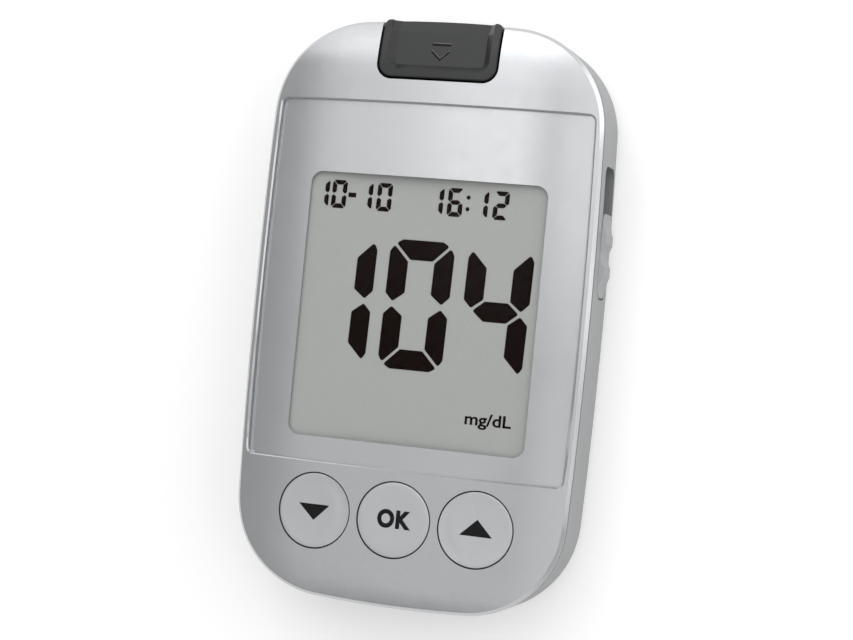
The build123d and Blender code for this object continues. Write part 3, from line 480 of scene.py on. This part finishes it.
# ---------------------------------------------------------------- display
def segments(w, h, t):
    """The seven segments of a digit about its centre.

    They come from the digit's half width and half height and the stroke's thickness.
    """
    slit, rise, cut = 0.1 * t, 0.2 * t, 0.64 * t
    top = [(w - cut, h), (w - rise - slit, h - rise), (w - t - slit, h - t)]
    top += [(-x, y) for x, y in reversed(top)]
    side = [
        (w - rise, h - rise - slit),
        (w, h - cut),
        (w, 0.53 * t),
        (w - 0.4 * t, 0.12 * t),
        (w - t, 0.58 * t),
        (w - t, h - t - slit),
    ]
    middle = [(w - 0.5 * t, 0), (w - t - slit, 0.5 * t), (-(w - t - slit), 0.5 * t)]
    middle += [(-x, -y) for x, y in middle]
    return {
        "a": top,
        "b": side,
        "c": [(x, -y) for x, y in side],
        "d": [(x, -y) for x, y in top],
        "e": [(-x, -y) for x, y in side],
        "f": [(-x, y) for x, y in side],
        "g": middle,
    }


LIT = {"0": "abcdef", "1": "bc", "2": "abged", "4": "fgbc", "6": "afgedc"}
SLANT = 0.021
CORNER = 0.12  # radius of a segment's corners, as a share of its thickness


def digit(character, x, y, w, h, t):
    """Outlines of one character of the display, leaning a little."""
    shapes = segments(w, h, t)
    outlines = []
    for name in LIT[character]:
        leaned = [(x + px + SLANT * py, y + py) for px, py in shapes[name]]
        outlines.append(rounded(leaned, CORNER * t))
    return outlines


def disc(x, y, radius, steps=20):
    """Outline of a dot."""
    turns = [2 * math.pi * i / steps for i in range(steps)]
    return [(x + radius * math.cos(a), y + radius * math.sin(a)) for a in turns]


display_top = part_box("lcd_cell")[1][2] / MM
INK_LIFT, INK_HEIGHT = 0.01, 0.03


def print_on_display(name, bm):
    """Lays flat shapes on the display as a thin layer."""
    thicken(bm, INK_HEIGHT)
    bmesh.ops.translate(bm, verts=bm.verts[:], vec=(0, 0, (display_top + INK_LIFT) * MM))
    new_piece(name, bm, segment_ink, "root")


LARGE = {"w": 5.4, "h": 10.4, "t": 3.2}
LARGE_Y = 1.45
reading = []
for character, x in (("1", -13.2), ("0", -0.22), ("4", 12.9)):
    reading += digit(character, x, LARGE_Y, **LARGE)
print_on_display("display_large_digits", outlines_mesh(reading))

SMALL = {"w": 1.26, "h": 2.28, "t": 0.74}
SMALL_Y = 18.35
DOT_RADIUS, DOT_RISE = 0.33, 0.93
date_and_time = []
for character, x in (
    ("1", -18.05), ("0", -15.05), ("1", -10.6), ("0", -7.3),
    ("1", 1.4), ("6", 4.62), ("1", 8.82), ("2", 12.2),
):
    date_and_time += digit(character, x, SMALL_Y, **SMALL)
date_and_time.append(stroke([(-13.45, SMALL_Y), (-12.15, SMALL_Y)], SMALL["t"]))
date_and_time += [disc(6.74, SMALL_Y + side * DOT_RISE, DOT_RADIUS) for side in (-1, 1)]
print_on_display("display_small_digits", outlines_mesh(date_and_time))

print_on_display("display_unit", letters_mesh("mg/dL", 9.6, 17.2, -17.15, -14.6, 0.018))


# ---------------------------------------------------------------- keys and their marks
DISH_DEPTH, DISH_RINGS, DISH_MARGIN = 0.12, 10, 0.2
# How far the rim of a key and the crease of its dish lie below its highest point, at most,
# and the least upward part of a dish face's normal.
RIM_REACH, TOP_REACH, FACING_UP = 0.3, 1.0, 0.9


def soft_key(key):
    """The CAD's key with its dish drawn as one soft hollow that follows the crowned face.

    The faces of the CAD's dish go. Rings of new faces close the hole from its edge to the
    middle, level with the face of the meter at the edge and hollow towards the middle. The
    high power keeps the uneven height of the hole's edge out of all but the first rings.
    """
    node = "button_" + key
    low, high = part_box(node)
    centre = Vector(((low[0] + high[0]) / 2, (low[1] + high[1]) / 2))
    bm = copy_of(node)
    bm.normal_update()
    rim_low, top_low = high[2] - RIM_REACH * MM, high[2] - TOP_REACH * MM
    radius = max((v.co.xy - centre).length for v in bm.verts if v.co.z > rim_low)
    dish_radius = radius - DISH_MARGIN / 2 * MM
    dish = [
        face
        for face in bm.faces
        if face.normal.z > FACING_UP
        and face.calc_center_median().z > top_low
        and all((v.co.xy - centre).length < dish_radius for v in face.verts)
    ]
    bmesh.ops.delete(bm, geom=dish, context="FACES")
    edge = [v for v in bm.verts if any(e.is_boundary for e in v.link_edges)]
    edge.sort(key=lambda v: math.atan2(v.co.y - centre.y, v.co.x - centre.x))
    rims = [vert.co.z + face_drop(vert.co) for vert in edge]
    mean = sum(rims) / len(rims)
    before = edge
    for ring in range(1, DISH_RINGS):
        share = 1 - ring / DISH_RINGS
        hollow = DISH_DEPTH * MM * (1 - share**2) ** 2
        here = []
        for vert, rim in zip(edge, rims):
            spot = centre + (vert.co.xy - centre) * share
            level = mean + (rim - mean) * share**8
            here.append(bm.verts.new((*spot, level - face_drop(spot) - hollow)))
        for i in range(len(edge)):
            j = (i + 1) % len(edge)
            bm.faces.new((before[i], before[j], here[j], here[i]))
        before = here
    bm.faces.new(before)
    shade_round(bm)
    piece = new_piece("key_" + key, bm, silver_key, key + "_button")
    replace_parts(piece, node)
    return piece


keys = {key: soft_key(key) for key in ("down", "ok", "up")}


def print_on_key(name, bm, key):
    """Lays flat shapes on a key as a thin layer of print."""
    cut_along_grid(bm)
    thicken(bm, MARK_HEIGHT)
    drape(bm, keys[key])
    new_piece(name, bm, key_ink, key + "_button")


ARROW_CORNER = 0.06
down_arrow = rounded([(-16.24, -31.84), (-10.97, -31.80), (-13.51, -34.38)], ARROW_CORNER)
up_arrow = rounded([(13.71, -31.15), (10.98, -33.79), (16.29, -33.83)], ARROW_CORNER)
print_on_key("mark_down", outlines_mesh([down_arrow]), "down")
print_on_key("mark_up", outlines_mesh([up_arrow]), "up")
print_on_key("mark_ok", letters_mesh("OK", -2.65, 2.97, -34.15, -31.17, 0.05, 1.12), "ok")


# ---------------------------------------------------------------- arrow in the strip port
PORT_BAR = ((-1.53, 43.3), (1.6, 43.3))
PORT_HEAD = ((-1.49, 42.15), (0.0, 40.83), (1.44, 42.19))
BAR_SHARE = 1.3  # the bar is this much wider than the arrowhead's strokes


def port_mark(name, shift, width, material):
    """The bar and the arrowhead in the trough of the port, moved by a shift."""
    dx, dy = shift
    bar, head = [[(x + dx, y + dy) for x, y in line] for line in (PORT_BAR, PORT_HEAD)]
    bm = outlines_mesh([stroke(bar, BAR_SHARE * width), stroke(head, width)])
    thicken(bm, MARK_HEIGHT)
    drape(bm, nodes["port_bezel"])
    new_piece(name, bm, material, "root")


# The arrow's dark strokes are painted shade in its engraved groove.
port_mark("port_arrow", (0.0, 0.0), 0.34, groove_painted_shade)
# A thin copy moved up the port, in lighter grey: a painted highlight on the groove's lit edge.
port_mark("port_arrow_painted_highlight", (0.03, 0.2), 0.12, groove_painted_highlight)


# ---------------------------------------------------------------- ejector spring
def coil_mesh(start, length, radius, wire_radius, turns, steps=28, sides=8):
    """Round wire wound about an axis along Y, with its last turn at each end laid close."""
    bm = bmesh.new()
    rings = []
    for i in range(turns * steps + 1):
        turn = i / steps
        close = min(turn, 1.0) + max(turn - turns + 1, 0.0)
        free = min(max((turn - 1) / (turns - 2), 0.0), 1.0)
        along = close * 2 * wire_radius + free * (length - 4 * wire_radius)
        angle = 2 * math.pi * turn
        out = Vector((math.cos(angle), 0, math.sin(angle)))
        middle = Vector(start) + out * radius + Vector((0, along, 0))
        ring = []
        for k in range(sides):
            lean = 2 * math.pi * k / sides
            rim = out * math.cos(lean) + Vector((0, math.sin(lean), 0))
            ring.append(bm.verts.new((middle + rim * wire_radius) * MM))
        rings.append(ring)
    for before, after in zip(rings, rings[1:]):
        for k in range(sides):
            j = (k + 1) % sides
            bm.faces.new((before[k], before[j], after[j], after[k]))
    bm.faces.new(rings[0][::-1])
    bm.faces.new(rings[-1])
    for face in bm.faces:
        face.smooth = True
    bmesh.ops.recalc_face_normals(bm, faces=bm.faces[:])
    return bm


WIRE, COIL_TURNS = 0.15, 7  # radius of the wire, and turns with the closed ones
spring_low, spring_high = [[c / MM for c in corner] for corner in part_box("ejector_spring")]
coil_radius = (spring_high[0] - spring_low[0]) / 2 - WIRE
coil_start = (
    (spring_low[0] + spring_high[0]) / 2,
    spring_low[1] + WIRE,
    (spring_low[2] + spring_high[2]) / 2,
)
free_length = spring_high[1] - spring_low[1]
coil = new_piece(
    "ejector_coil",
    coil_mesh(coil_start, free_length - 2 * WIRE, coil_radius, WIRE, COIL_TURNS),
    wire,
    "root",
)
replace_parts(coil, "ejector_spring")
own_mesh(coil)


# ---------------------------------------------------------------- floor, light and camera
# The floor's own light, which only the camera and mirrored or refracted rays see, and how
# far it lies below the back, so that the two don't share a plane.
FLOOR_GLOW, FLOOR_DROP = 0.28, 0.02
FLOOR_REACH = 3.0  # metres to either side


def floor_material():
    """White floor that keeps the object's shadow."""
    material, tree, shader = shader_tree("white_floor")
    shader.inputs["Base Color"].default_value = (0.86, 0.86, 0.86, 1)
    shader.inputs["Roughness"].default_value = 0.9
    glow = node_of(tree, "ShaderNodeEmission")
    path = tree.nodes.new("ShaderNodeLightPath")
    seen = path.outputs["Is Camera Ray"]
    for ray in ("Is Glossy Ray", "Is Transmission Ray"):
        either = node_of(tree, "ShaderNodeMath")
        either.operation = "MAXIMUM"
        tree.links.new(seen, either.inputs[0])
        tree.links.new(path.outputs[ray], either.inputs[1])
        seen = either.outputs[0]
    strength = node_of(tree, "ShaderNodeMath")
    strength.operation = "MULTIPLY"
    strength.inputs[1].default_value = FLOOR_GLOW
    tree.links.new(seen, strength.inputs[0])
    tree.links.new(strength.outputs[0], glow.inputs["Strength"])
    both = tree.nodes.new("ShaderNodeAddShader")
    tree.links.new(shader.outputs["BSDF"], both.inputs[0])
    tree.links.new(glow.outputs["Emission"], both.inputs[1])
    tree.links.new(both.outputs["Shader"], tree.nodes["Material Output"].inputs["Surface"])
    return material


bm = bmesh.new()
bmesh.ops.create_grid(bm, x_segments=1, y_segments=1, size=FLOOR_REACH)
floor_mesh = bpy.data.meshes.new("floor")
bm.to_mesh(floor_mesh)
bm.free()
floor = bpy.data.objects.new("floor", floor_mesh)
floor.location.z = -FLOOR_DROP * MM
scene.collection.objects.link(floor)
floor_mesh.materials.append(floor_material())

world = bpy.data.worlds.new("studio")
scene.world = world
world.use_nodes = True
background = world.node_tree.nodes["Background"]
background.inputs["Color"].default_value = (1, 1, 1, 1)
background.inputs["Strength"].default_value = 0.4


def softbox(name, place, size, power):
    """Rectangular lamp that faces the object, with its size across and then along Y."""
    lamp = bpy.data.lights.new(name, "AREA")
    lamp.shape = "RECTANGLE"
    lamp.size, lamp.size_y = size
    lamp.energy = power
    holder = bpy.data.objects.new(name, lamp)
    back = Vector(place).normalized()
    across = Vector((0, 1, 0)).cross(back).normalized()
    turned = Matrix((across, back.cross(across), back)).transposed().to_4x4()
    holder.matrix_world = Matrix.Translation(place) @ turned
    scene.collection.objects.link(holder)


# Strips overhead, brighter towards the port: name, place across, width, power of each half.
STRIP_HEIGHT, STRIP_LENGTH = 0.5, 0.4
for name, x, width, upper, lower in (
    ("left", -0.23, 0.15, 0.119, 0.064),
    ("middle", -0.09, 0.13, 0.204, 0.059),
    ("right", 0.10, 0.22, 0.262, 0.144),
):
    softbox(name + "_upper", (x, STRIP_LENGTH / 2, STRIP_HEIGHT), (width, STRIP_LENGTH), upper)
    softbox(name + "_lower", (x, -STRIP_LENGTH / 2, STRIP_HEIGHT), (width, STRIP_LENGTH), lower)
# Wide lamps beyond the port and to the sides, and a low one that draws the right-hand edge.
softbox("top", (0.12, 0.45, 0.38), (0.6, 0.3), 0.68)
softbox("top_left", (-0.28, 0.42, 0.24), (0.5, 0.5), 0.6)
softbox("side", (0.42, 0.0, 0.32), (0.4, 0.6), 0.78)
softbox("rim", (0.45, 0.25, 0.07), (0.12, 0.6), 0.51)

# The photograph's camera: turns in radians about the crest of the face, distance and shift
# in metres, and focal length in pixels of the photograph.
CAMERA_YAW, CAMERA_PITCH, CAMERA_ROLL = 0.302, 0.013, 0.096
CAMERA_DISTANCE, CAMERA_RIGHT, CAMERA_UP = 313.122 * MM, 2.264 * MM, -0.716 * MM
FOCAL_PIXELS, IMAGE_WIDTH, SENSOR = 1973.332, 853, 36.0
CREST = Vector((0, 0, 16 * MM))

towards = Vector(
    (
        math.sin(CAMERA_YAW) * math.cos(CAMERA_PITCH),
        -math.sin(CAMERA_PITCH),
        math.cos(CAMERA_YAW) * math.cos(CAMERA_PITCH),
    )
)
level = Vector((0, 1, 0)).cross(towards).normalized()
upright = towards.cross(level)
right = level * math.cos(CAMERA_ROLL) + upright * math.sin(CAMERA_ROLL)
up = upright * math.cos(CAMERA_ROLL) - level * math.sin(CAMERA_ROLL)
camera_data = bpy.data.cameras.new("camera")
camera_data.sensor_width = SENSOR
camera_data.lens = FOCAL_PIXELS * SENSOR / IMAGE_WIDTH
camera = bpy.data.objects.new("camera", camera_data)
turn = Matrix((right, up, towards)).transposed().to_4x4()
spot = CREST + towards * CAMERA_DISTANCE + level * CAMERA_RIGHT + upright * CAMERA_UP
camera.matrix_world = Matrix.Translation(spot) @ turn
scene.collection.objects.link(camera)
scene.camera = camera

scene.view_settings.view_transform = "Standard"
